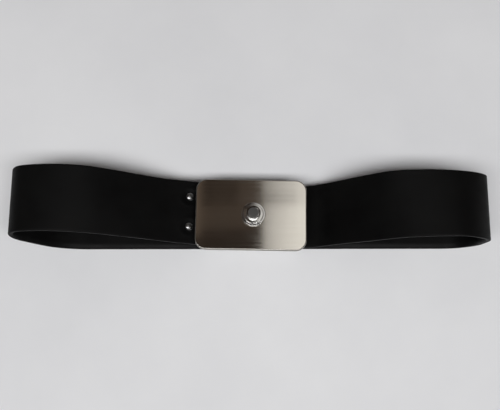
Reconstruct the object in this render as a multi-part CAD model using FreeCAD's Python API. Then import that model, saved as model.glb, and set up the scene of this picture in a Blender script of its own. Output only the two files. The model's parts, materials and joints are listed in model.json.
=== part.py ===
"""Antistatic wrist strap: a rubber band closed by a hinged stainless clamp plate with a snap stud.

Millimetres. X runs along the closed loop, Y across the band, Z up. The loop lies on its back run,
and the origin is under the middle of the loop, on the surface that it lies on.
"""
import FreeCAD, Part
import math
import os

V = FreeCAD.Vector
TINY = 0.001

# band
BAND_WIDTH = 18.0
OUTER_PLY = 0.8
LINING_PLY = 0.4
BAND_THICKNESS = OUTER_PLY + LINING_PLY
LOOP_HALF_LENGTH = 65.9
BAND_CENTRE_Y = 0.9
TAIL_TOP_Z = 3.8
TAIL_END_X = -8.35
TAIL_TIP_SHEET = 0.25
TAIL_TIP_LENGTH = 3.0
ANCHORED_END_X = -13.4
ANCHOR_SLOPE = 22.0

# right end of the loop, outer face: radius and turn of each bend, from the back run to the clamp
RIGHT_FOOT = (9.5, 90.0)
RIGHT_WALL = 5.8
RIGHT_CROWN = ((6.7, 45.0), (14.0, 45.0), (38.0, 15.0), (20.0, 25.5))
RIGHT_ENTRY = (15.0, 40.5)

# left end of the loop, outer face
LEFT_FOOT = (17.0, 48.0)
LEFT_RAMP = 7.0
LEFT_CROWN = ((7.0, 42.0), (6.5, 70.0), (25.0, 20.0), (28.0, 27.7))
LEFT_SLOPE = 18.0
LEFT_ENTRY_RADIUS = 30.0

# clamp: everything here is turned a little on the band, about a vertical line
CLAMP_TURN = -1.0
CLAMP_CENTRE = V(0.25, -0.3, 0)
COVER_LENGTH = 31.3
COVER_WIDTH = 20.2
COVER_THICKNESS = 1.2
COVER_TOP_Z = 10.8
COVER_CORNER = 3.2
COVER_RIM = 0.45
COVER_UNDER_Z = COVER_TOP_Z - COVER_THICKNESS

FRAME_SHIFT_Y = 1.2
FRAME_HALF_WIDTH = 9.55
CHEEK = 0.3
FRAME_BEND = 0.6
FRAME_FLOOR_Z = 1.6
FRAME_FLOOR = 0.6
FRAME_FLOOR_TOP_Z = FRAME_FLOOR_Z + FRAME_FLOOR
FRAME_LEFT_X = -13.6
FRAME_RIGHT_X = 13.4
FRAME_WAIST_Z = 5.2
FRAME_NOSE_Z = 4.2
FRAME_CHAMFER = 1.4
FOOT_RIVET_RADIUS = 0.8
FOOT_RIVET_HEAD_RADIUS = 1.2
GRIP_RIVET_RADIUS = 0.5
FLOOR_RIVET_HEAD = 0.3
CHEEK_INNER_Y = FRAME_HALF_WIDTH - CHEEK

PIVOT = V(12.0, 0, 4.9)
PIN_RADIUS = 0.5
RUNNING_CLEARANCE = 0.03
BOSS_RADIUS = 1.2
PIN_RING_RADIUS = 1.0
PIN_RING = 0.25
PIN_RING_GAP = 0.05
PIN_END = 0.15
PIN_NECK_RADIUS = 0.35

BRACKET_SHEET = 0.5
BRACKET_LEFT_X = 4.7
BRACKET_RIGHT_X = 14.4
EAR_OUTER_Y = 8.75
EAR_INNER_Y = EAR_OUTER_Y - BRACKET_SHEET
EAR_RADIUS = 1.0
SPACER = 0.5
SPACER_RADIUS = 0.95

CAM_RADIUS = 1.15
CAM_OFFSET = V(-0.3, 0, 0.15)
CAM_TEETH = 4
CAM_TOOTH_PITCH = 20.0
CAM_FIRST_TOOTH = -98.0
CAM_GROOVE = 0.14
CAM_FOOT_LEFT_X = 8.2
CAM_FOOT_RIGHT_X = 12.8
CAM_FOOT_KNEE = (8.4, 7.0)
CAM_FOOT_HEEL = 0.8
CAM_FOOT_TOE = 0.85
DRIVE_PIN = V(9.8, 0, 7.9)
DRIVE_PIN_RADIUS = 0.5

GRIP_THICKNESS = 0.4
GRIP_LEFT_X = 8.4
GRIP_RIGHT_X = 13.2
GRIP_RIVET_X = 9.4
GRIP_RIVET_Y = 7.0
GRIP_GROOVES = 4
GRIP_PITCH = 0.55
GRIP_DEPTH = 0.2
GRIP_SIDE_GAP = 0.4

STUD_X = 0.65
STUD_HEAD_RADIUS = 2.025
STUD_POST_RADIUS = 1.1
STUD_POST_REACH = 0.9
STUD_FLANGE_RADIUS = 3.4
STUD_STEP_RADIUS = 2.75
STUD_NECK_RADIUS = 1.75
STUD_HEIGHT = 2.6
STUD_WASHER_RADIUS = 3.0
STUD_WASHER = 0.3
POST_FLANGE_RADIUS = 2.4
POST_FLANGE = 0.3

RIVET_X = -17.3
RIVET_SHIFT_Y = 0.85
RIVET_SPACING = 8.9
RIVET_CAP_RADIUS = 1.15
RIVET_CAP_HEIGHT = 0.6
RIVET_SHANK_RADIUS = 0.7
RIVET_WASHER_RADIUS = 1.4
RIVET_WASHER = 0.25
RIVET_TAIL_RADIUS = 1.1
RIVET_TAIL = 0.3

TONGUE_SHEET = 0.5
TONGUE_WIDTH = 14.0
TONGUE_TIP_X = -19.8
TONGUE_GAP = 0.08
TONGUE_KNEE_X = -12.9
TONGUE_HEEL_X = -12.2
TONGUE_FOOT_X = -9.2
FOOT_RIVET_X = -10.35
FOOT_RIVET_Y = 5.0
STOP_TAB_WIDTH = 2.5
STOP_GAP = 0.05


def save(name, shape):
    shape.exportStep("parts/" + name + ".step")


def box(x0, x1, y0, y1, z0, z1):
    return Part.makeBox(x1 - x0, y1 - y0, z1 - z0, V(x0, y0, z0))


def across(x, z, radius, y0, y1):
    """A cylinder lying across the band."""
    return Part.makeCylinder(radius, y1 - y0, V(x, y0, z), V(0, 1, 0))


def upright(x, y, radius, z0, z1):
    return Part.makeCylinder(radius, z1 - z0, V(x, y, z0))


def prism(outline, y0, y1):
    """A flat outline of (x, z) points, given a thickness across the band."""
    corners = [V(x, y0, z) for x, z in outline]
    face = Part.Face(Part.makePolygon(corners + corners[:1]))
    return face.extrude(V(0, y1 - y0, 0))


def turned(radius_and_height, x, y, z):
    """A shape turned about a vertical axis, from its half outline."""
    corners = [V(r, 0, h) for r, h in radius_and_height]
    face = Part.Face(Part.makePolygon(corners + corners[:1]))
    solid = face.revolve(V(0, 0, 0), V(0, 0, 1), 360)
    solid.translate(V(x, y, z))
    return solid


def on_clamp(shape):
    """Turn a shape made about the clamp's own centre lines to where the clamp sits on the band."""
    placed = shape.copy()
    placed.translate(CLAMP_CENTRE)
    placed.rotate(CLAMP_CENTRE, V(0, 0, 1), CLAMP_TURN)
    return placed


class Run:
    """The band's outer face seen from the side, drawn as straights and tangent bends."""

    def __init__(self, x, z, heading):
        self.x = x
        self.z = z
        self.heading = heading
        self.pieces = []

    def straight(self, length):
        a = math.radians(self.heading)
        start = (self.x, self.z)
        self.x += length * math.cos(a)
        self.z += length * math.sin(a)
        self.pieces.append(("straight", start, (self.x, self.z), self.heading, 0))

    def bend(self, radius, turn):
        """Turn left by a positive angle and right by a negative one."""
        side = math.copysign(1, turn)
        start = (self.x, self.z)
        centre = self.beside(radius * side)
        first = self.heading
        self.heading += turn
        a = math.radians(self.heading)
        self.x = centre[0] + side * radius * math.sin(a)
        self.z = centre[1] - side * radius * math.cos(a)
        self.pieces.append(("bend", start, (self.x, self.z), first, (radius * side, turn)))

    def beside(self, distance):
        a = math.radians(self.heading)
        return (self.x - distance * math.sin(a), self.z + distance * math.cos(a))


def shifted(point, heading, distance):
    """The point at a distance to the left of a line's heading."""
    a = math.radians(heading)
    return V(point[0] - distance * math.sin(a), 0, point[1] + distance * math.cos(a))


def parallel_edges(run, distance):
    """The edges of a run's parallel line, to its left."""
    edges = []
    for kind, start, end, heading, bend in run.pieces:
        turn = bend[1] if kind == "bend" else 0
        first = shifted(start, heading, distance)
        last = shifted(end, heading + turn, distance)
        if kind == "straight":
            edges.append(Part.LineSegment(first, last).toShape())
        else:
            radius = bend[0]
            centre = shifted(start, heading, radius)
            half = math.radians(heading + turn / 2)
            reach = radius - distance
            middle = V(centre.x + reach * math.sin(half), 0, centre.z - reach * math.cos(half))
            edges.append(Part.Arc(first, middle, last).toShape())
    return edges


def ply(run, near, far, width, centre_y):
    """A sheet between two lines parallel to a run, extruded across the band."""
    outer = parallel_edges(run, near)
    inner = parallel_edges(run, far)
    start = Part.LineSegment(inner[0].Vertexes[0].Point, outer[0].Vertexes[0].Point).toShape()
    end = Part.LineSegment(outer[-1].Vertexes[-1].Point, inner[-1].Vertexes[-1].Point).toShape()
    wire = Part.Wire(Part.__sortEdges__(outer + [end] + inner + [start]))
    solid = Part.Face(wire).extrude(V(0, width, 0))
    solid.translate(V(0, centre_y - width / 2, 0))
    return solid


def left_run():
    """From the middle of the back run, round the left end, to the anchored end."""
    foot_radius, foot_turn = LEFT_FOOT
    foot = Run(0, 0, 180)
    foot.bend(foot_radius, -foot_turn)
    foot.straight(LEFT_RAMP)
    foot.bend(LEFT_CROWN[0][0], -LEFT_CROWN[0][1])
    run = Run(0, 0, 180)
    run.straight(LOOP_HALF_LENGTH + foot.x)
    run.bend(foot_radius, -foot_turn)
    run.straight(LEFT_RAMP)
    for radius, turn in LEFT_CROWN:
        run.bend(radius, -turn)
    run.straight(LEFT_SLOPE)
    run.bend(LEFT_ENTRY_RADIUS, -run.heading - ANCHOR_SLOPE)
    run.straight((ANCHORED_END_X - run.x) / math.cos(math.radians(ANCHOR_SLOPE)))
    return run


def right_run():
    """From the middle of the back run, round the right end, to the tail in the clamp."""
    run = Run(0, 0, 0)
    run.straight(LOOP_HALF_LENGTH - RIGHT_FOOT[0])
    run.bend(*RIGHT_FOOT)
    run.straight(RIGHT_WALL)
    for radius, turn in RIGHT_CROWN:
        run.bend(radius, turn)
    radius, turn = RIGHT_ENTRY
    slope = math.radians(turn)
    drop = run.z - TAIL_TOP_Z - radius * (1 - math.cos(slope))
    run.straight(drop / math.sin(slope))
    run.bend(radius, -turn)
    run.straight(run.x - TAIL_END_X)
    return run


def rivet_places():
    """Where the two strap rivets stand, along the clamp's own axes."""
    return [(RIVET_X, RIVET_SHIFT_Y + side * RIVET_SPACING / 2) for side in (1, -1)]


def anchored_face_z(x, end):
    """Height of the anchored end's outer face, at a place along the clamp's own centre line."""
    return end.z + (end.x - CLAMP_CENTRE.x - x) * math.tan(math.radians(ANCHOR_SLOPE))


def on_anchored_end(shape, x, y, end):
    """Stand a shape, made upright at the origin, on the outer face of the band's anchored end."""
    z = anchored_face_z(x, end)
    placed = shape.copy()
    placed.rotate(V(0, 0, 0), V(0, 1, 0), ANCHOR_SLOPE)
    placed.translate(V(x, y, z))
    return placed


def riveted(shape, end):
    """Copies of a small turned shape at both strap rivets."""
    copies = [on_anchored_end(shape, x, y, end) for x, y in rivet_places()]
    return Part.makeCompound([on_clamp(c) for c in copies])


def rivet_holes(end):
    return riveted(Part.makeCylinder(RIVET_SHANK_RADIUS, 6, V(0, 0, -3)), end)


def make_band(left, right):
    holes = rivet_holes(left)
    plies = {"strap_band": (0, OUTER_PLY), "strap_lining": (OUTER_PLY, BAND_THICKNESS)}
    for name, (near, far) in plies.items():
        left_half = ply(left, -near, -far, BAND_WIDTH, BAND_CENTRE_Y)
        right_half = ply(right, near, far, BAND_WIDTH, BAND_CENTRE_Y)
        save(name, left_half.fuse(right_half).removeSplitter().cut(holes))


def make_tail_tip():
    """A folded strip of sheet over the end of the band's free tail."""
    sheet = TAIL_TIP_SHEET
    length = TAIL_TIP_LENGTH
    half = BAND_WIDTH / 2
    low = TAIL_TOP_Z - BAND_THICKNESS
    x0 = TAIL_END_X
    shell = box(x0 - sheet, x0 + length, -half, half, low - sheet, TAIL_TOP_Z + sheet)
    tip = shell.cut(box(x0, x0 + length, -half, half, low, TAIL_TOP_Z))
    tip.translate(V(0, BAND_CENTRE_Y, 0))
    save("tail_tip", tip)


def cheek(y0):
    """One side of the frame: a low wall with a boss round the hinge pin."""
    y1 = y0 + CHEEK
    wall = prism(
        [
            (FRAME_LEFT_X, FRAME_FLOOR_Z),
            (FRAME_RIGHT_X, FRAME_FLOOR_Z),
            (FRAME_RIGHT_X, FRAME_NOSE_Z),
            (PIVOT.x, FRAME_WAIST_Z),
            (FRAME_LEFT_X + FRAME_CHAMFER, FRAME_WAIST_Z),
            (FRAME_LEFT_X, FRAME_WAIST_Z - FRAME_CHAMFER),
        ],
        y0,
        y1,
    )
    boss = across(PIVOT.x, PIVOT.z, BOSS_RADIUS, y0, y1)
    return wall.fuse(boss).cut(across(PIVOT.x, PIVOT.z, PIN_RADIUS, y0, y1))


def frame_rivet_places():
    """Floor rivets: two through the anchor tongue's foot and two through the grip plate."""
    foot = [(FOOT_RIVET_X, side * FOOT_RIVET_Y + RIVET_SHIFT_Y - FRAME_SHIFT_Y) for side in (1, -1)]
    grip = [(GRIP_RIVET_X, side * GRIP_RIVET_Y) for side in (1, -1)]
    return foot, grip


def in_frame(shape):
    placed = shape.copy()
    placed.translate(V(0, FRAME_SHIFT_Y, 0))
    return on_clamp(placed)


def folded_outside():
    """The space inside the channel's outer faces, with a radius along each fold."""
    half = FRAME_HALF_WIDTH
    block = box(FRAME_LEFT_X, FRAME_RIGHT_X, -half, half, FRAME_FLOOR_Z, PIVOT.z + 2 * BOSS_RADIUS)
    folds = [e for e in block.Edges if all(v.Z < FRAME_FLOOR_Z + TINY for v in e.Vertexes)]
    along = [e for e in folds if abs(e.Vertexes[0].X - e.Vertexes[1].X) > 1]
    return block.makeFillet(FRAME_BEND, along)


def make_frame():
    half = FRAME_HALF_WIDTH
    frame = box(FRAME_LEFT_X, FRAME_RIGHT_X, -half, half, FRAME_FLOOR_Z, FRAME_FLOOR_TOP_Z)
    frame = frame.fuse([cheek(-half), cheek(half - CHEEK)]).removeSplitter()
    frame = frame.common(folded_outside())
    foot, grip = frame_rivet_places()
    for x, y in foot:
        frame = frame.cut(upright(x, y, FOOT_RIVET_RADIUS, FRAME_FLOOR_Z, FRAME_FLOOR_TOP_Z))
    for x, y in grip:
        frame = frame.cut(upright(x, y, GRIP_RIVET_RADIUS, FRAME_FLOOR_Z, FRAME_FLOOR_TOP_Z))
    save("frame_channel", in_frame(frame))


def make_tongue(end):
    """A cranked sheet: foot on the frame's floor, tongue under the anchored end, tabs under the cover."""
    upper_drop = (BAND_THICKNESS + TONGUE_GAP) / math.cos(math.radians(ANCHOR_SLOPE))
    lower_drop = upper_drop + TONGUE_SHEET / math.cos(math.radians(ANCHOR_SLOPE))

    def band_face(x, drop):
        return (x, anchored_face_z(x, end) - drop)

    foot_top = FRAME_FLOOR_TOP_Z + TONGUE_SHEET
    tongue = prism(
        [
            (TONGUE_FOOT_X, FRAME_FLOOR_TOP_Z),
            (TONGUE_FOOT_X, foot_top),
            (TONGUE_HEEL_X, foot_top),
            band_face(TONGUE_KNEE_X + TONGUE_SHEET, upper_drop),
            band_face(TONGUE_TIP_X, upper_drop),
            band_face(TONGUE_TIP_X, lower_drop),
            band_face(TONGUE_KNEE_X, lower_drop),
            (TONGUE_HEEL_X - TONGUE_SHEET, FRAME_FLOOR_TOP_Z),
        ],
        RIVET_SHIFT_Y - TONGUE_WIDTH / 2,
        RIVET_SHIFT_Y + TONGUE_WIDTH / 2,
    )
    tab_top = COVER_UNDER_Z - STOP_GAP
    near = RIVET_SHIFT_Y - TONGUE_WIDTH / 2
    for y0 in (near, near + TONGUE_WIDTH - STOP_TAB_WIDTH):
        heel = TONGUE_HEEL_X
        tab = box(heel, heel + TONGUE_SHEET, y0, y0 + STOP_TAB_WIDTH, FRAME_FLOOR_TOP_Z, tab_top)
        tongue = tongue.fuse(tab)
    tongue = tongue.removeSplitter()
    foot, _ = frame_rivet_places()
    for x, y in foot:
        tongue = tongue.cut(upright(x, y + FRAME_SHIFT_Y, FOOT_RIVET_RADIUS, 0, foot_top))
    save("anchor_tongue", on_clamp(tongue).cut(rivet_holes(end)))


def make_floor_rivets():
    foot, grip = frame_rivet_places()
    foot_top = FRAME_FLOOR_TOP_Z + TONGUE_SHEET
    anchors = []
    for x, y in foot:
        shank = upright(x, y, FOOT_RIVET_RADIUS, FRAME_FLOOR_Z, foot_top)
        head = upright(x, y, FOOT_RIVET_HEAD_RADIUS, foot_top, foot_top + FLOOR_RIVET_HEAD)
        anchors.append(in_frame(shank.fuse(head).removeSplitter()))
    save("anchor_rivets", Part.makeCompound(anchors))
    pin_top = FRAME_FLOOR_TOP_Z + FLOOR_RIVET_HEAD
    pins = [in_frame(upright(x, y, GRIP_RIVET_RADIUS, FRAME_FLOOR_Z, pin_top)) for x, y in grip]
    save("grip_rivets", Part.makeCompound(pins))


def make_grip_plate():
    top = FRAME_FLOOR_TOP_Z + GRIP_THICKNESS
    half = CHEEK_INNER_Y - GRIP_SIDE_GAP
    plate = box(GRIP_LEFT_X, GRIP_RIGHT_X, -half, half, FRAME_FLOOR_TOP_Z, top)
    _, grip = frame_rivet_places()
    for x, y in grip:
        pin_top = FRAME_FLOOR_TOP_Z + FLOOR_RIVET_HEAD
        plate = plate.cut(upright(x, y, GRIP_RIVET_RADIUS, FRAME_FLOOR_TOP_Z, pin_top))
    deep = GRIP_DEPTH
    first = PIVOT.x + CAM_OFFSET.x - GRIP_PITCH * (GRIP_GROOVES - 1) / 2
    for i in range(GRIP_GROOVES):
        x = first + i * GRIP_PITCH
        groove = prism([(x - deep, top), (x, top - deep), (x + deep, top)], -half, half)
        plate = plate.cut(groove)
    save("grip_plate", in_frame(plate))


def make_strap_rivets(end):
    under = -(BAND_THICKNESS + TONGUE_GAP + TONGUE_SHEET)
    sphere_radius = (RIVET_CAP_RADIUS**2 + RIVET_CAP_HEIGHT**2) / (2 * RIVET_CAP_HEIGHT)
    ball = Part.makeSphere(sphere_radius, V(0, 0, RIVET_CAP_HEIGHT - sphere_radius))
    cap = ball.common(Part.makeCylinder(2 * RIVET_CAP_RADIUS, RIVET_CAP_HEIGHT))
    save("strap_rivet_caps", riveted(cap, end))
    washer_under = under - RIVET_WASHER
    washer = Part.makeCylinder(RIVET_WASHER_RADIUS, RIVET_WASHER, V(0, 0, washer_under))
    washer = washer.cut(Part.makeCylinder(RIVET_SHANK_RADIUS, RIVET_WASHER, V(0, 0, washer_under)))
    save("strap_rivet_washers", riveted(washer, end))
    shank = Part.makeCylinder(RIVET_SHANK_RADIUS, -washer_under, V(0, 0, washer_under))
    tail = Part.makeCylinder(RIVET_TAIL_RADIUS, RIVET_TAIL, V(0, 0, washer_under - RIVET_TAIL))
    save("strap_rivet_posts", riveted(shank.fuse(tail).removeSplitter(), end))


def make_hinge():
    """The pin, flush with the far cheek, a ring on its near end, and spacers beside the ears."""
    x, z = PIVOT.x, PIVOT.z
    ring_y = -FRAME_HALF_WIDTH - PIN_RING_GAP - PIN_RING
    pin = across(x, z, PIN_RADIUS, ring_y - PIN_END, FRAME_HALF_WIDTH)
    neck = across(x, z, PIN_RADIUS, ring_y, ring_y + PIN_RING)
    neck = neck.cut(across(x, z, PIN_NECK_RADIUS, ring_y, ring_y + PIN_RING))
    save("hinge_pin", in_frame(pin.cut(neck)))
    clip = across(x, z, PIN_RING_RADIUS, ring_y, ring_y + PIN_RING)
    clip = clip.cut(across(x, z, PIN_NECK_RADIUS, ring_y, ring_y + PIN_RING))
    half_mouth = PIN_NECK_RADIUS
    mouth = box(x - half_mouth, x + half_mouth, ring_y, ring_y + PIN_RING, z - PIN_RING_RADIUS, z)
    save("hinge_pin_ring", in_frame(clip.cut(mouth)))
    spacers = []
    for y0 in (CHEEK_INNER_Y - SPACER, -CHEEK_INNER_Y):
        spacer = across(x, z, SPACER_RADIUS, y0, y0 + SPACER)
        spacers.append(in_frame(spacer.cut(across(x, z, PIN_RADIUS, y0, y0 + SPACER))))
    save("hinge_spacers", Part.makeCompound(spacers))


def make_cover():
    half_x = COVER_LENGTH / 2
    half_y = COVER_WIDTH / 2
    plate = box(-half_x, half_x, -half_y, half_y, COVER_UNDER_Z, COVER_TOP_Z)
    corners = [e for e in plate.Edges if abs(e.Vertexes[0].Z - e.Vertexes[1].Z) > 1]
    plate = plate.makeFillet(COVER_CORNER, corners)
    rim = [e for e in plate.Edges if min(v.Z for v in e.Vertexes) > COVER_TOP_Z - TINY]
    plate = plate.makeFillet(COVER_RIM, rim)
    hole = upright(STUD_X, 0, STUD_POST_RADIUS, COVER_UNDER_Z, COVER_TOP_Z)
    save("cover_plate", on_clamp(plate.cut(hole)))


def ear(y0):
    """One ear of the cover's bracket, from the web down to the pin."""
    y1 = y0 + BRACKET_SHEET
    web_under = COVER_UNDER_Z - BRACKET_SHEET
    blade = prism(
        [
            (BRACKET_LEFT_X, COVER_UNDER_Z),
            (BRACKET_RIGHT_X, COVER_UNDER_Z),
            (PIVOT.x + EAR_RADIUS, PIVOT.z),
            (PIVOT.x - EAR_RADIUS, PIVOT.z),
            (BRACKET_LEFT_X, web_under),
        ],
        y0,
        y1,
    )
    lug = blade.fuse(across(PIVOT.x, PIVOT.z, EAR_RADIUS, y0, y1))
    lug = lug.cut(across(PIVOT.x, PIVOT.z, PIN_RADIUS + RUNNING_CLEARANCE, y0, y1))
    return lug.cut(across(DRIVE_PIN.x, DRIVE_PIN.z, DRIVE_PIN_RADIUS, y0, y1))


def make_bracket():
    web_under = COVER_UNDER_Z - BRACKET_SHEET
    outer = EAR_OUTER_Y
    bracket = box(BRACKET_LEFT_X, BRACKET_RIGHT_X, -outer, outer, web_under, COVER_UNDER_Z)
    bracket = bracket.fuse([ear(-outer), ear(EAR_INNER_Y)]).removeSplitter()
    save("cover_bracket", in_frame(bracket))


def make_cam():
    """An eccentric bar with teeth along its lower side, and a foot under the bracket's web."""
    y0 = -EAR_INNER_Y
    y1 = EAR_INNER_Y
    centre = PIVOT + CAM_OFFSET
    web_under = COVER_UNDER_Z - BRACKET_SHEET
    cam = across(centre.x, centre.z, CAM_RADIUS, y0, y1)
    foot = prism(
        [
            (CAM_FOOT_LEFT_X, web_under),
            CAM_FOOT_KNEE,
            (centre.x - CAM_FOOT_HEEL, centre.z - CAM_FOOT_HEEL),
            (PIVOT.x + CAM_FOOT_TOE, PIVOT.z),
            (CAM_FOOT_RIGHT_X, web_under),
        ],
        y0,
        y1,
    )
    cam = cam.fuse(foot).removeSplitter()
    for i in range(CAM_TEETH):
        a = math.radians(CAM_FIRST_TOOTH - i * CAM_TOOTH_PITCH)
        x = centre.x + CAM_RADIUS * math.cos(a)
        z = centre.z + CAM_RADIUS * math.sin(a)
        cam = cam.cut(across(x, z, CAM_GROOVE, y0, y1))
    cam = cam.cut(across(PIVOT.x, PIVOT.z, PIN_RADIUS + RUNNING_CLEARANCE, y0, y1))
    cam = cam.cut(across(DRIVE_PIN.x, DRIVE_PIN.z, DRIVE_PIN_RADIUS, y0, y1))
    save("clamp_cam", in_frame(cam))
    drive = across(DRIVE_PIN.x, DRIVE_PIN.z, DRIVE_PIN_RADIUS, -EAR_OUTER_Y, EAR_OUTER_Y)
    save("cam_drive_pin", in_frame(drive))


def make_stud():
    """The snap stud for a ground cord: a flange, a step, a neck and a round-edged head."""
    flange, step, neck, head = STUD_FLANGE_RADIUS, STUD_STEP_RADIUS, STUD_NECK_RADIUS, STUD_HEAD_RADIUS
    outline = [
        (0, STUD_POST_REACH),
        (STUD_POST_RADIUS, STUD_POST_REACH),
        (STUD_POST_RADIUS, 0),
        (flange - 0.2, 0),
        (flange, 0.12),
        (flange, 0.3),
        (flange - 0.15, 0.42),
        (step + 0.1, 0.45),
        (step, 0.55),
        (step, 0.8),
        (step - 0.15, 0.95),
        (neck + 0.1, 1.0),
        (neck, 1.1),
        (neck, 1.3),
        (head, 1.55),
        (head, STUD_HEIGHT - 0.3),
        (head - 0.08, STUD_HEIGHT - 0.15),
        (head - 0.25, STUD_HEIGHT - 0.05),
        (head - 0.35, STUD_HEIGHT),
        (0, STUD_HEIGHT),
    ]
    save("snap_stud", on_clamp(turned(outline, STUD_X, 0, COVER_TOP_Z)))
    washer_z = COVER_UNDER_Z - STUD_WASHER
    washer = upright(STUD_X, 0, STUD_WASHER_RADIUS, washer_z, COVER_UNDER_Z)
    washer = washer.cut(upright(STUD_X, 0, STUD_POST_RADIUS, washer_z, COVER_UNDER_Z))
    save("stud_washer", on_clamp(washer))
    post = upright(STUD_X, 0, STUD_POST_RADIUS, washer_z, COVER_TOP_Z + STUD_POST_REACH)
    post_flange = upright(STUD_X, 0, POST_FLANGE_RADIUS, washer_z - POST_FLANGE, washer_z)
    save("stud_post", on_clamp(post.fuse(post_flange).removeSplitter()))


def main():
    os.makedirs("parts", exist_ok=True)
    left = left_run()
    right = right_run()
    make_band(left, right)
    make_tail_tip()
    make_frame()
    make_tongue(left)
    make_floor_rivets()
    make_grip_plate()
    make_strap_rivets(left)
    make_hinge()
    make_cover()
    make_bracket()
    make_cam()
    make_stud()
    print("anchored end at", round(left.x, 2), round(left.z, 2))


main()
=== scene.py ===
import json
import math

import bmesh
import bpy
from mathutils import Matrix, Vector


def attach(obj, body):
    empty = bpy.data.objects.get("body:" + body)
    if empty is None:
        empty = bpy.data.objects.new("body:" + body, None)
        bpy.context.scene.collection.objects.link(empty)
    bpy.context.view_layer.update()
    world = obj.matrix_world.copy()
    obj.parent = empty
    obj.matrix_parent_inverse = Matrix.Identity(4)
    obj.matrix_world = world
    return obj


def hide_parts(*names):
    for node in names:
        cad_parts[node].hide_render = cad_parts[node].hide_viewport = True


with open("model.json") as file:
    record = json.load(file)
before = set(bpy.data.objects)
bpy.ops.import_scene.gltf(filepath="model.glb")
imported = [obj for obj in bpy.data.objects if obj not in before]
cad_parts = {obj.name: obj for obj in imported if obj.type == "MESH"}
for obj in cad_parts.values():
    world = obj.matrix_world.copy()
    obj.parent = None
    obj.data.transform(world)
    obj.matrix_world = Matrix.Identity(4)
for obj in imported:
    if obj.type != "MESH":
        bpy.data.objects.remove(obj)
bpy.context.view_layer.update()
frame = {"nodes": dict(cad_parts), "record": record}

MM = 0.001
SLOT_OF = {s["node"]: s["material_slot"] for s in frame["record"]["subparts"]}

# ---------------------------------------------------------------- band, in millimetres
BAND_WIDTH = 18.2
OUTER_PLY = 0.8
BAND_THICKNESS = 1.2
OUTER_EDGE_RADIUS = 0.3
LINING_EDGE_RADIUS = 0.05
LINING_INSET = 0.12
EDGE_STEPS = 4
INNER_CHAMFER = 0.06
INNER_STRIPS = 12
RUN_STEP = 0.4
LOOP_HALF_LENGTH = 65.65
TAIL_TOP_Z = 3.8
TAIL_END_X = -8.35
ANCHORED_END_X = -13.4
ANCHOR_SLOPE = 22.0

# bends of the outer face, as radius and turn in degrees, with the straights between them
RIGHT_FOOT = (9.5, 90.0)
RIGHT_WALL = 5.8
RIGHT_CROWN = ((6.7, 45.0), (14.0, 45.0), (38.0, 15.0), (20.0, 25.5))
RIGHT_ENTRY = (15.0, 40.5)
LEFT_FOOT = (17.0, 48.0)
LEFT_RAMP = 7.0
LEFT_CROWN = ((7.0, 42.0), (6.5, 70.0), (25.0, 20.0), (28.0, 27.7))
LEFT_SLOPE = 18.0
LEFT_ENTRY_RADIUS = 30.0

# the band's middle line from above: its y at x = 0, and how much y changes for each millimetre of x
BACK_LINE = (0.72, 0.0016)
FRONT_LINE = (1.0, -0.0161)
SKEW_HEIGHT = 23.6
CLAMPED_Y = 0.75
CLAMPED_Z = (2.0, 12)
SQUARE_TO_X = 15.0
SQUARE_FADE = 7.0

# twist of the front run: lift of the near edge, its place along the band, and its reach
TWISTS = ((0.7, -27, 8), (-0.3, -46, 8), (-1.2, 34.5, 7.5), (1.0, 57, 7))
TWIST_LOW_Z = 3
TIP_REACH = 1.0
TIP_POINTS = 8

# the right end is shorter by the trim, and its near side leans inwards
RIGHT_TRIM = 0.25
RIGHT_LEAN = 0.17
LEAN_FROM_X = 45
LEAN_FADE = 15

# ---------------------------------------------------------------- clamp, in millimetres
CLAMP_TURN = math.radians(-1.0)
CLAMP_CENTRE = Vector((0.25, -0.3, 0))

COVER_SIZE = (31.3, 20.2, 1.2)
COVER_TOP_Z = 10.8
COVER_CORNER = 3.2
COVER_ROLL = 0.36
ROLL_STEPS = 8
FLAT_NORMAL_Z = 0.99
UV_PER_METRE = 30

STUD_X = 0.65
STUD_HEIGHT = 2.6
STUD_TOP_RADIUS = 1.45
STUD_TOP_FACES_Z = 2.595
STUD_FILLET = 0.04
STUD_STEPS = 96
STUD_OUTLINE = (
    (0, 0), (3.4, 0), (3.4, 0.3), (3.3, 0.42), (2.8, 0.45), (2.75, 0.52), (2.75, 0.9), (2.68, 0.98),
    (1.78, 1.0), (1.75, 1.3), (2.025, 1.5), (2.025, 2.38), (1.93, 2.52), (STUD_TOP_RADIUS, STUD_HEIGHT),
    (0, STUD_HEIGHT),
)

RIVET_X = -17.45
RIVET_SHIFT_Y = 0.95
RIVET_SPACING = 8.65
RIVET_FILLET = 0.05
RIVET_STEPS = 48
RIVET_OUTLINE = (
    (0, -0.12), (1.0, -0.12), (1.12, -0.05), (1.15, 0.05), (1.08, 0.2), (0.9, 0.36), (0.62, 0.5),
    (0.3, 0.57), (0, 0.6),
)

# the hollow round each rivet, and the low ridge round the hollow
DIMPLED_X = (-22, -12)
DIMPLED_LOW_Z = 4
DIMPLE_DEPTH = 0.16
DIMPLE_RADIUS = 1.1
DIMPLE_FADE = 1.5
RIDGE_HEIGHT = 0.05
RIDGE_RADIUS = 2.6
RIDGE_WIDTH = 0.6

# ---------------------------------------------------------------- floor and lights, in metres
FLOOR_HALF = 1.2
FLOOR_Z = -0.02 * MM

KEY_TILT = math.radians(20.0)
KEY_DISTANCE = 0.9
KEY_SIZE = (1.0, 0.18)
KEY_POWER = 7.7
KEY_COLOUR = (1.0, 0.995, 0.99)
OVERHEAD_PLACE = (0.0, 0.1, 1.0)
OVERHEAD_SIZE = (1.4, 1.4)
OVERHEAD_POWER = 0.6
OVERHEAD_COLOUR = (0.93, 0.96, 1.0)
SKY_COLOUR = (0.035, 0.0255, 0.0195, 1)

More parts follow.
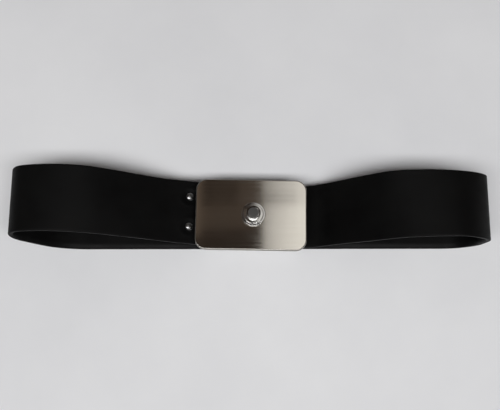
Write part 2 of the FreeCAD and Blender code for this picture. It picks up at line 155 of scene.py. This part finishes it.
# dim walls of the room, seen only in reflections: direction, width, radiance
WALL_DISTANCE = 1.2
WALL_HEIGHT = 0.9
WALL_FOOT = 0.05
WALL_COLOUR = (1.0, 0.98, 0.95)
WALLS = (((0, -1), 1.6, 0.30), ((0, 1), 1.6, 0.30), ((1, 0), 1.2, 0.36), ((-1, 0), 1.2, 0.20))

# ---------------------------------------------------------------- cards the plate mirrors, in millimetres
CARD_Z = 310.8

# bright rows: y range, and the radiance of each card between neighbouring x places
BRIGHT_CARD_X = (9, 15, 20, 25, 32, 90)
BRIGHT_COLOUR = (1.0, 0.98, 0.94)
BRIGHT_CARDS = (
    ((10, 72), (0.68, 0.82, 0.92, 1.03, 1.15)),
    ((72, 81), (0.30, 0.42, 0.52, 0.64, 0.95)),
    ((81, 160), (0.47, 0.60, 0.70, 0.80, 0.97)),
)

# dim cards: x range, y range, radiance
DIM_COLOUR = (1.0, 0.76, 0.58)
DIM_CARDS = (
    ((-34, 9), (55, 72), 0.042),
    ((-8, 9), (72, 160), 0.040),
    ((-26, -8), (72, 160), 0.015),
    ((-70, -34), (50, 110), 0.10),
)

# ---------------------------------------------------------------- camera: places, lens, sensor in millimetres
CAMERA_TILT = math.radians(13.0)
CAMERA_DISTANCE = 210.4
CAMERA_TARGET = (-0.05, 2.4, 10.8)
CAMERA_LENS = 53.9
CAMERA_SENSOR = 36
CAMERA_CLIP_START = 0.01


# ---------------------------------------------------------------- mesh helpers
def make_object(name, bm, material, body, replaced):
    mesh = bpy.data.meshes.new(name)
    bmesh.ops.recalc_face_normals(bm, faces=bm.faces)
    bm.to_mesh(mesh)
    bm.free()
    for face in mesh.polygons:
        face.use_smooth = True
    obj = bpy.data.objects.new(name, mesh)
    bpy.context.scene.collection.objects.link(obj)
    mesh.materials.append(material)
    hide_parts(*replaced)
    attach(obj, body)
    return obj


def skin(bm, rings):
    """Faces between neighbouring rings of vertices, each ring a loop."""
    for a, b in zip(rings, rings[1:]):
        for j in range(len(a)):
            k = (j + 1) % len(a)
            bm.faces.new((a[j], a[k], b[k], b[j]))


def lathe(bm, outline, steps):
    """Turn an outline of (radius, height), in millimetres, that starts and ends on the axis."""
    rings = []
    for radius, height in outline[1:-1]:
        ring = []
        for i in range(steps):
            a = 2 * math.pi * i / steps
            ring.append(bm.verts.new((radius * math.cos(a) * MM, radius * math.sin(a) * MM, height * MM)))
        rings.append(ring)
    skin(bm, rings)
    for ring, height in ((rings[0], outline[0][1]), (rings[-1], outline[-1][1])):
        tip = bm.verts.new((0, 0, height * MM))
        for j in range(steps):
            bm.faces.new((ring[j], ring[(j + 1) % steps], tip))


def rounded(points, radius, steps=4):
    """An open outline with each inner corner replaced by a short curve."""
    out = [points[0]]
    for i in range(1, len(points) - 1):
        p, q, r = (Vector(points[j]) for j in (i - 1, i, i + 1))
        reach = min(radius, 0.45 * (q - p).length, 0.45 * (r - q).length)
        a = q + (p - q).normalized() * reach
        b = q + (r - q).normalized() * reach
        for j in range(steps + 1):
            t = j / steps
            out.append(tuple(a.lerp(q, t).lerp(q.lerp(b, t), t)))
    out.append(points[-1])
    return out


def clamp_matrix():
    centre = Matrix.Translation(CLAMP_CENTRE * MM)
    return centre @ Matrix.Rotation(CLAMP_TURN, 4, "Z")


# ---------------------------------------------------------------- node helpers
class Nodes:
    """A small writer for a material's nodes."""

    def __init__(self, name):
        self.material = bpy.data.materials.new(name)
        self.material.use_nodes = True
        self.tree = self.material.node_tree
        self.shader = self.tree.nodes["Principled BSDF"]
        self.position = self.add("ShaderNodeTexCoord").outputs["Object"]

    def add(self, kind, **values):
        node = self.tree.nodes.new(kind)
        for key, value in values.items():
            setattr(node, key, value)
        return node

    def link(self, source, target):
        self.tree.links.new(source, target)

    def drive(self, socket, source):
        """Link a source to one of the shader's own sockets."""
        self.link(source, self.shader.inputs[socket])

    def set(self, **values):
        for key, value in values.items():
            self.shader.inputs[key.replace("_", " ")].default_value = value

    def scaled(self, scale):
        node = self.add("ShaderNodeMapping")
        node.inputs["Scale"].default_value = scale
        self.link(self.position, node.inputs["Vector"])
        return node.outputs["Vector"]

    def noise(self, scale, detail, stretch=(1, 1, 1)):
        node = self.add("ShaderNodeTexNoise")
        node.inputs["Scale"].default_value = scale
        node.inputs["Detail"].default_value = detail
        node.inputs["Roughness"].default_value = 0.55
        self.link(self.scaled(stretch), node.inputs["Vector"])
        return node.outputs["Fac"]

    def ramp(self, source, *stops):
        """Blend between two stops, each a place from 0 to 1 and a colour."""
        node = self.add("ShaderNodeValToRGB")
        for element, (place, colour) in zip(node.color_ramp.elements, stops):
            element.position = place
            element.color = (*colour, 1)
        self.link(source, node.inputs["Fac"])
        return node.outputs["Color"]

    def spread(self, source, low, high, start=0.3, stop=0.7):
        node = self.add("ShaderNodeMapRange")
        for key, value in (("From Min", start), ("From Max", stop), ("To Min", low), ("To Max", high)):
            node.inputs[key].default_value = value
        self.link(source, node.inputs["Value"])
        return node.outputs["Result"]

    def plus(self, a, b):
        node = self.add("ShaderNodeMath", operation="ADD")
        self.link(a, node.inputs[0])
        self.link(b, node.inputs[1])
        return node.outputs["Value"]

    def bump(self, source, distance, strength, below=None):
        node = self.add("ShaderNodeBump")
        node.inputs["Distance"].default_value = distance
        node.inputs["Strength"].default_value = strength
        self.link(source, node.inputs["Height"])
        if below is not None:
            self.link(below, node.inputs["Normal"])
        return node.outputs["Normal"]


# ---------------------------------------------------------------- materials
def rubber_outer():
    """Black rubber: faint calender lines along the band, cloudy tone and a fine pebble."""
    n = Nodes("band_outer_rubber")
    blotches = n.noise(90, 3)
    n.drive("Base Color", n.ramp(blotches, (0.35, (0.0010, 0.0010, 0.0011)), (0.7, (0.0022, 0.0022, 0.0022))))
    streaks = n.noise(500, 3, (0.08, 1, 1))
    pebble = n.noise(2600, 2)
    n.drive("Roughness", n.plus(n.spread(streaks, 0.46, 0.54), n.spread(blotches, 0.0, 0.08)))
    fine = n.bump(pebble, 0.00001, 0.35)
    n.drive("Normal", n.bump(streaks, 0.00002, 0.25, fine))
    n.set(IOR=1.5, Specular_IOR_Level=0.09)
    return n.material


def rubber_lining():
    """Matt conductive rubber with a fine checked texture."""
    n = Nodes("band_lining_rubber")
    blotches = n.noise(120, 3)
    n.drive("Base Color", n.ramp(blotches, (0.35, (0.0012, 0.0012, 0.0013)), (0.7, (0.0024, 0.0024, 0.0024))))
    checks = n.add("ShaderNodeTexChecker")
    checks.inputs["Scale"].default_value = 1800
    n.link(n.position, checks.inputs["Vector"])
    n.drive("Roughness", n.spread(blotches, 0.42, 0.55))
    n.drive("Normal", n.bump(checks.outputs["Fac"], 0.00002, 0.3))
    n.set(IOR=1.5, Specular_IOR_Level=0.08)
    return n.material


def brushed_cover():
    """Stainless sheet brushed along the plate: fine lines, cloudy gloss and a few faint scratches."""
    n = Nodes("cover_brushed_steel")
    lines = n.noise(1500, 5, (0.015, 1, 1))
    wide = n.noise(260, 3, (0.04, 1, 1))
    clouds = n.noise(110, 3)
    tone = n.plus(n.spread(lines, 0.0, 0.5), n.spread(wide, 0.0, 0.5))
    n.drive("Base Color", n.ramp(tone, (0.2, (0.565, 0.545, 0.505)), (0.8, (0.59, 0.57, 0.53))))
    n.drive("Roughness", n.plus(n.spread(lines, 0.055, 0.085), n.spread(clouds, 0.0, 0.03)))
    scratches = n.noise(240, 2, (0.12, 1, 1))
    cut = n.spread(scratches, 0.0, 1.0, 0.68, 0.72)
    fine = n.bump(lines, 0.0000006, 0.5)
    n.drive("Normal", n.bump(cut, 0.000002, 0.3, fine))
    tangent = n.add("ShaderNodeTangent", direction_type="UV_MAP", uv_map="UVMap")
    n.drive("Tangent", tangent.outputs["Tangent"])
    n.set(Metallic=1.0, Anisotropic=0.25)
    return n.material


def steel(name, low, high, rough, line_scale):
    """Plain stainless sheet: rolling lines and cloudy roughness."""
    n = Nodes(name)
    lines = n.noise(line_scale, 3, (0.1, 1, 1))
    clouds = n.noise(200, 3)
    n.drive("Base Color", n.ramp(clouds, (0.3, low), (0.7, high)))
    n.drive("Roughness", n.plus(n.spread(lines, rough, rough + 0.08), n.spread(clouds, 0.0, 0.08)))
    n.drive("Normal", n.bump(lines, 0.000004, 0.4))
    n.set(Metallic=1.0)
    return n.material


def polished(name, low, high, rough):
    """Polished or satin metal with faint handling marks."""
    n = Nodes(name)
    clouds = n.noise(400, 4)
    marks = n.noise(1500, 2)
    n.drive("Base Color", n.ramp(clouds, (0.3, low), (0.7, high)))
    n.drive("Roughness", n.spread(clouds, rough, rough + 0.1))
    n.drive("Normal", n.bump(marks, 0.000002, 0.3))
    n.set(Metallic=1.0)
    return n.material


def floor_paper():
    """Pale paper, faintly mottled, with fine fibres."""
    n = Nodes("floor_paper")
    clouds = n.noise(14, 5)
    fibres = n.noise(900, 3)
    n.drive("Base Color", n.ramp(clouds, (0.3, (0.74, 0.75, 0.775)), (0.7, (0.83, 0.84, 0.86))))
    n.drive("Normal", n.bump(fibres, 0.00003, 0.3))
    n.set(Roughness=0.85, Specular_IOR_Level=0.2)
    return n.material


# ---------------------------------------------------------------- band
def run_points(moves, heading):
    """Points along straights and tangent bends, with the heading at each: (x, z, heading in degrees)."""
    x, z = 0.0, 0.0
    points = [(x, z, heading)]
    for radius, amount in moves:
        length = amount if radius is None else abs(math.radians(amount)) * radius
        count = max(1, round(length / RUN_STEP))
        for _ in range(count):
            turn = 0.0 if radius is None else amount / count
            chord = length / count
            if turn:
                chord = 2 * radius * math.sin(abs(math.radians(turn)) / 2)
            a = math.radians(heading + turn / 2)
            x += chord * math.cos(a)
            z += chord * math.sin(a)
            heading += turn
            points.append((x, z, heading))
    return points


def left_moves():
    """From the middle of the back run, round the left end, to the anchored end."""
    foot = [(LEFT_FOOT[0], -LEFT_FOOT[1]), (None, LEFT_RAMP), (LEFT_CROWN[0][0], -LEFT_CROWN[0][1])]
    reach = run_points(foot, 180)[-1][0]
    moves = [(None, LOOP_HALF_LENGTH + reach), foot[0], foot[1]]
    moves += [(radius, -turn) for radius, turn in LEFT_CROWN]
    moves.append((None, LEFT_SLOPE))
    heading = run_points(moves, 180)[-1][2]
    moves.append((LEFT_ENTRY_RADIUS, -heading - ANCHOR_SLOPE))
    x = run_points(moves, 180)[-1][0]
    moves.append((None, (ANCHORED_END_X - x) / math.cos(math.radians(ANCHOR_SLOPE))))
    return moves


def right_moves():
    """From the middle of the back run, round the right end, to the tail in the clamp."""
    moves = [(None, LOOP_HALF_LENGTH - RIGHT_TRIM - RIGHT_FOOT[0]), RIGHT_FOOT]
    moves += [(None, RIGHT_WALL), *RIGHT_CROWN]
    radius, turn = RIGHT_ENTRY
    slope = math.radians(turn)
    drop = run_points(moves, 0)[-1][1] - TAIL_TOP_Z - radius * (1 - math.cos(slope))
    moves += [(None, drop / math.sin(slope)), (radius, -turn)]
    moves.append((None, run_points(moves, 0)[-1][0] - TAIL_END_X))
    return moves


def band_line():
    """The band's outer face from the tail, round the loop, to the anchored end: point and inward normal."""
    line = []
    for x, z, heading in reversed(run_points(right_moves(), 0)):
        a = math.radians(heading)
        line.append((x, z, -math.sin(a), math.cos(a)))
    for x, z, heading in run_points(left_moves(), 180)[1:]:
        a = math.radians(heading)
        line.append((x, z, math.sin(a), -math.cos(a)))
    return line


def bell(x, middle, width):
    return math.exp(-(((x - middle) / width) ** 2))


def smooth(t):
    t = min(max(t, 0.0), 1.0)
    return t * t * (3 - 2 * t)


def centre_y(x, z):
    """Where the band's middle runs: askew in front, nearly straight at the back, and square in the clamp."""
    back = BACK_LINE[0] + BACK_LINE[1] * x
    front = FRONT_LINE[0] + FRONT_LINE[1] * x
    outside = back + (front - back) * smooth(z / SKEW_HEIGHT)
    if x < 0 or z < CLAMPED_Z[0] or z > CLAMPED_Z[1]:
        return outside
    clamped = CLAMPED_Y + math.sin(CLAMP_TURN) * x
    inside = 1 - smooth((x - SQUARE_TO_X) / SQUARE_FADE)
    return outside + (clamped - outside) * inside


def twist(x):
    """How far the near edge stands above the middle, and the far edge below it."""
    return sum(lift * bell(x, middle, width) for lift, middle, width in TWISTS)


def dimple(x, y):
    """How far the face is drawn in round the rivets."""
    depth = 0.0
    for side in (1, -1):
        place = Vector((RIVET_X, RIVET_SHIFT_Y + side * RIVET_SPACING / 2, 0))
        place.rotate(Matrix.Rotation(CLAMP_TURN, 3, "Z"))
        place += CLAMP_CENTRE
        distance = math.hypot(x - place.x, y - place.y)
        hollow = DIMPLE_DEPTH * (1 - smooth((distance - DIMPLE_RADIUS) / DIMPLE_FADE))
        depth += hollow - RIDGE_HEIGHT * bell(distance, RIDGE_RADIUS, RIDGE_WIDTH)
    return depth


def band_section(low, high, inset, radius, strips):
    """A ply's cross-section, as y and depth below the outer face, with its outer edges rounded."""
    half = BAND_WIDTH / 2 - inset
    start = [(-half, low + radius)]
    for i in range(1, EDGE_STEPS + 1):
        a = math.pi / 2 * i / EDGE_STEPS
        start.append((-half + radius * (1 - math.cos(a)), low + radius * (1 - math.sin(a))))
    flat_width = 2 * (half - radius)
    face = [(-half + radius + flat_width * i / strips, low) for i in range(1, strips)]
    stop = [(-y, depth) for y, depth in reversed(start)]
    under = [(half, high - INNER_CHAMFER), (half - INNER_CHAMFER, high)]
    under += [(half - flat_width * i / INNER_STRIPS, high) for i in range(1, INNER_STRIPS)]
    under += [(-half + INNER_CHAMFER, high), (-half, high - INNER_CHAMFER)]
    return start + face + stop + under


def band_mesh(name, section, material, node):
    """Carry a ply's section along the band's line, with the skew, twist, lean and dimples."""
    line = band_line()
    tips = [i for i, point in enumerate(line) if abs(point[0]) > LOOP_HALF_LENGTH - TIP_REACH]
    first_back, last_back = min(tips) + TIP_POINTS, max(tips) - TIP_POINTS
    bm = bmesh.new()
    rings = []
    for i, (x, z, nx, nz) in enumerate(line):
        front = i < first_back or i > last_back
        lift = twist(x) if front and z > TWIST_LOW_Z else 0.0
        middle = centre_y(x, z)
        dimpled = DIMPLED_X[0] < x < DIMPLED_X[1] and z > DIMPLED_LOW_Z
        ring = []
        for y, depth in section:
            share = y / (BAND_WIDTH / 2)
            drawn = depth + dimple(x, y + middle) if dimpled else depth
            lean = RIGHT_LEAN * (share - 1) * smooth((x - LEAN_FROM_X) / LEAN_FADE)
            px = x + nx * drawn + lean
            pz = z + nz * drawn - lift * share
            ring.append(bm.verts.new((px * MM, (y + middle) * MM, pz * MM)))
        rings.append(ring)
    skin(bm, rings)
    bm.faces.new(rings[0])
    bm.faces.new(list(reversed(rings[-1])))
    make_object(name, bm, material, "band", [node])


def build_band():
    outer = band_section(0.0, OUTER_PLY, 0.0, OUTER_EDGE_RADIUS, 60)
    band_mesh("band_outer", outer, rubber_outer(), "strap_band")
    lining = band_section(OUTER_PLY, BAND_THICKNESS, LINING_INSET, LINING_EDGE_RADIUS, 30)
    band_mesh("band_lining", lining, rubber_lining(), "strap_lining")


# ---------------------------------------------------------------- cover plate, stud and rivets
def rounded_rectangle(half_x, half_y, radius, steps=12):
    points = []
    for corner in range(4):
        middle = Vector((half_x - radius, half_y - radius))
        if corner in (1, 2):
            middle.x *= -1
        if corner in (2, 3):
            middle.y *= -1
        for i in range(steps + 1):
            a = math.pi / 2 * (corner + i / steps)
            points.append((middle.x + radius * math.cos(a), middle.y + radius * math.sin(a)))
    return points


def cover_profile():
    """The plate's rim from the top, over the roll, to the underside: inset and height from the top."""
    under = -COVER_SIZE[2]
    profile = [(COVER_ROLL + 0.35, 0.0), (COVER_ROLL, 0.0)]
    for i in range(1, ROLL_STEPS):
        a = math.pi / 2 * i / ROLL_STEPS
        profile.append((COVER_ROLL * (1 - math.sin(a)), -COVER_ROLL * (1 - math.cos(a))))
    return profile + [(0, -COVER_ROLL), (0, under + 0.15), (0.04, under + 0.04), (0.15, under), (0.6, under)]


def build_cover(material, painted_shade_edge_material):
    """The plate: flat top, rolled rim and small radius under it. The rim and sides take a rougher steel whose
    darker colour is painted shade for the dark surroundings they mirror.
    """
    length, width, _ = COVER_SIZE
    bm = bmesh.new()
    rings = []
    for inset, drop in cover_profile():
        outline = rounded_rectangle(length / 2 - inset, width / 2 - inset, COVER_CORNER - inset)
        rings.append([bm.verts.new((x * MM, y * MM, (COVER_TOP_Z + drop) * MM)) for x, y in outline])
    skin(bm, rings)
    bm.faces.new(rings[0])
    bm.faces.new(list(reversed(rings[-1])))
    layer = bm.loops.layers.uv.new("UVMap")
    for face in bm.faces:
        for loop in face.loops:
            loop[layer].uv = (loop.vert.co.y * UV_PER_METRE, loop.vert.co.x * UV_PER_METRE)
    bm.transform(clamp_matrix())
    for face in bm.faces:
        face.normal_update()
        # rim and side faces take the second slot: rougher steel, darkened as painted shade
        if abs(face.normal.z) < FLAT_NORMAL_Z:
            face.material_index = 1
    cover = make_object("cover", bm, material, "cover", ["cover_plate"])
    cover.data.materials.append(painted_shade_edge_material)


def build_stud(material, top_material):
    """The snap stud: flange, step, neck, and a head with a bevelled rim and a flat satin top."""
    bm = bmesh.new()
    lathe(bm, rounded(STUD_OUTLINE, STUD_FILLET), STUD_STEPS)
    for face in bm.faces:
        if face.calc_center_median().z > STUD_TOP_FACES_Z * MM:
            face.material_index = 1
    bm.transform(clamp_matrix() @ Matrix.Translation(Vector((STUD_X, 0, COVER_TOP_Z)) * MM))
    stud = make_object("stud", bm, material, "cover", ["snap_stud"])
    stud.data.materials.append(top_material)


def build_rivets(material):
    """Two domed caps, seated in the band's dimples."""
    slope = math.radians(ANCHOR_SLOPE)
    end_x, end_z, _ = run_points(left_moves(), 180)[-1]
    z = end_z + (end_x - CLAMP_CENTRE.x - RIVET_X) * math.tan(slope)
    bm = bmesh.new()
    for side in (1, -1):
        cap = bmesh.new()
        lathe(cap, rounded(RIVET_OUTLINE, RIVET_FILLET, 2), RIVET_STEPS)
        y = RIVET_SHIFT_Y + side * RIVET_SPACING / 2
        place = Matrix.Translation(Vector((RIVET_X, y, z)) * MM)
        cap.transform(clamp_matrix() @ place @ Matrix.Rotation(slope, 4, "Y"))
        mesh = bpy.data.meshes.new("cap")
        cap.to_mesh(mesh)
        cap.free()
        bm.from_mesh(mesh)
        bpy.data.meshes.remove(mesh)
    make_object("rivet_caps", bm, material, "band", ["strap_rivet_caps"])


def finish_frame_nodes(materials):
    """The clamp's other pieces keep their CAD shape and take detailed metal."""
    replaced = {"strap_band", "strap_lining", "cover_plate", "snap_stud", "strap_rivet_caps"}
    for name, obj in frame["nodes"].items():
        if name in replaced:
            continue
        material = materials[SLOT_OF[name]]
        if not obj.material_slots:
            obj.data.materials.append(material)
        for slot in obj.material_slots:
            slot.material = material


# ---------------------------------------------------------------- stage, light and camera
def build_stage():
    mesh = bpy.data.meshes.new("floor")
    bm = bmesh.new()
    signs = ((-1, -1), (1, -1), (1, 1), (-1, 1))
    bm.faces.new([bm.verts.new((x * FLOOR_HALF, y * FLOOR_HALF, FLOOR_Z)) for x, y in signs])
    bm.to_mesh(mesh)
    bm.free()
    mesh.materials.append(floor_paper())
    floor = bpy.data.objects.new("floor", mesh)
    bpy.context.scene.collection.objects.link(floor)


def area_light(name, place, target, size, power, colour, glossy=True, diffuse=True):
    data = bpy.data.lights.new(name, "AREA")
    data.shape = "RECTANGLE"
    data.size, data.size_y = size
    data.energy = power
    data.color = colour
    obj = bpy.data.objects.new(name, data)
    obj.location = place
    obj.rotation_euler = (Vector(target) - Vector(place)).to_track_quat("-Z", "Y").to_euler()
    obj.visible_glossy = glossy
    obj.visible_diffuse = diffuse
    bpy.context.scene.collection.objects.link(obj)


def mirrored_panel(name, place, target, size, radiance, colour):
    """A panel of a given radiance, seen only in reflections."""
    power = radiance * size[0] * size[1] * math.pi
    area_light(name, place, target, size, power, colour, diffuse=False)


def card(name, x_range, y_range, radiance, colour):
    """A level panel above the plate, facing down."""
    (x0, x1), (y0, y1) = x_range, y_range
    size = ((x1 - x0) * MM, (y1 - y0) * MM)
    middle = Vector(((x0 + x1) / 2, (y0 + y1) / 2, CARD_Z)) * MM
    mirrored_panel(name, middle, middle - Vector((0, 0, 1)), size, radiance, colour)


def build_cards():
    """What the plate mirrors: pale cards that brighten to the right, and a dim brown room to the left."""
    for row, (y_range, levels) in enumerate(BRIGHT_CARDS):
        for i, radiance in enumerate(levels):
            x_range = (BRIGHT_CARD_X[i], BRIGHT_CARD_X[i + 1])
            card(f"bright_card_{row}_{i}", x_range, y_range, radiance, BRIGHT_COLOUR)
    for i, (x_range, y_range, radiance) in enumerate(DIM_CARDS):
        card(f"dim_card_{i}", x_range, y_range, radiance, DIM_COLOUR)


def build_walls():
    """Upright panels round the object, mirrored where the cards are out of sight."""
    for i, ((x, y), width, radiance) in enumerate(WALLS):
        middle = Vector((x * WALL_DISTANCE, y * WALL_DISTANCE, WALL_HEIGHT / 2 + WALL_FOOT))
        inward = Vector((0, 0, middle.z))
        mirrored_panel(f"wall_{i}", middle, inward, (width, WALL_HEIGHT), radiance, WALL_COLOUR)


def build_lights():
    key_place = Vector((0, -math.sin(KEY_TILT), math.cos(KEY_TILT))) * KEY_DISTANCE
    area_light("key", key_place, (0, 0, 0), KEY_SIZE, KEY_POWER, KEY_COLOUR)
    area_light("overhead", OVERHEAD_PLACE, (0, 0, 0), OVERHEAD_SIZE, OVERHEAD_POWER, OVERHEAD_COLOUR,
               glossy=False)
    build_cards()
    build_walls()
    world = bpy.data.worlds.new("room")
    world.use_nodes = True
    sky = world.node_tree.nodes["Background"]
    sky.inputs["Color"].default_value = SKY_COLOUR
    sky.inputs["Strength"].default_value = 1.0
    bpy.context.scene.world = world
    bpy.context.scene.view_settings.view_transform = "Standard"


def build_camera():
    """Looks down on the plate from the near side, tilted off the vertical."""
    target = Vector(CAMERA_TARGET) * MM
    away = Vector((0, -math.sin(CAMERA_TILT), math.cos(CAMERA_TILT)))
    data = bpy.data.cameras.new("camera")
    data.sensor_width = CAMERA_SENSOR
    data.lens = CAMERA_LENS
    data.clip_start = CAMERA_CLIP_START
    camera = bpy.data.objects.new("camera", data)
    camera.location = target + away * (CAMERA_DISTANCE * MM)
    camera.rotation_euler = (CAMERA_TILT, 0, 0)
    bpy.context.scene.collection.objects.link(camera)
    bpy.context.scene.camera = camera


def main():
    build_camera()
    build_stage()
    build_lights()
    materials = {
        "steel_satin": steel("satin_steel", (0.40, 0.39, 0.375), (0.5, 0.49, 0.47), 0.32, 700),
        "steel_bright": steel("bright_steel", (0.52, 0.51, 0.5), (0.62, 0.61, 0.6), 0.2, 900),
        "cam_steel": steel("hardened_steel", (0.25, 0.25, 0.255), (0.34, 0.34, 0.34), 0.3, 600),
        "stud_chrome": polished("stud_polished", (0.40, 0.395, 0.385), (0.52, 0.515, 0.505), 0.1),
        "rivet_gunmetal": polished("rivet_dark_metal", (0.17, 0.17, 0.175), (0.26, 0.26, 0.26), 0.24),
    }
    build_band()
    # rim and sides: rougher steel; its darker colour is painted shade for the shadowed floor and band it
    # mirrors
    edge = steel("cover_rough_edge_painted_shade", (0.30, 0.288, 0.265), (0.40, 0.385, 0.36), 0.28, 900)
    build_cover(brushed_cover(), edge)
    top = polished("stud_satin_top", (0.07, 0.069, 0.067), (0.09, 0.089, 0.087), 0.5)
    build_stud(materials["stud_chrome"], top)
    build_rivets(materials["rivet_gunmetal"])
    finish_frame_nodes(materials)


main()
